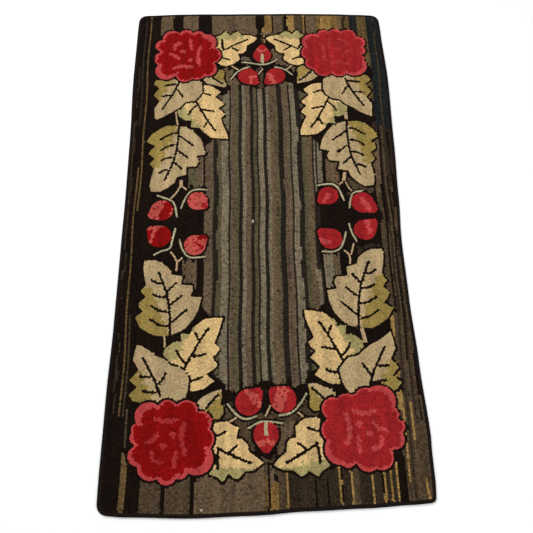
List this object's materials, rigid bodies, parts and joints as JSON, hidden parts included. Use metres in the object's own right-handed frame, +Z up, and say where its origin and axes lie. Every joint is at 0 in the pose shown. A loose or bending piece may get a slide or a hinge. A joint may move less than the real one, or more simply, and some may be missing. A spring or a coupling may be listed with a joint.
{
  "type": "hooked rug",
  "caption": "Flat rectangular hooked rug of wool loops on burlap with roses, leaves and buds on a striped dark ground, bound round its edge with dark tape.",
  "frame": {"origin": "centre of the underside, on the surface the rug lies on", "axes": "+X across the rug's width, +Y along its length, +Z up out of the pile"},
  "size_m": [0.872, 1.666, 0.009],
  "materials": {
    "wool_pile": "short uncut loops of hand-cut wool strips, matte, stripes of brown, grey and black with red roses and cream and olive leaves",
    "burlap": "plain-woven burlap foundation, coarse and matte, seen on the underside",
    "binding_tape": "near-black twill tape, matte, hand-sewn, a little faded along its fold"
  },
  "bodies": {
    "root": {"hooked_panel": "wool_pile", "edge_binding": "binding_tape"}
  },
  "joints": []
}
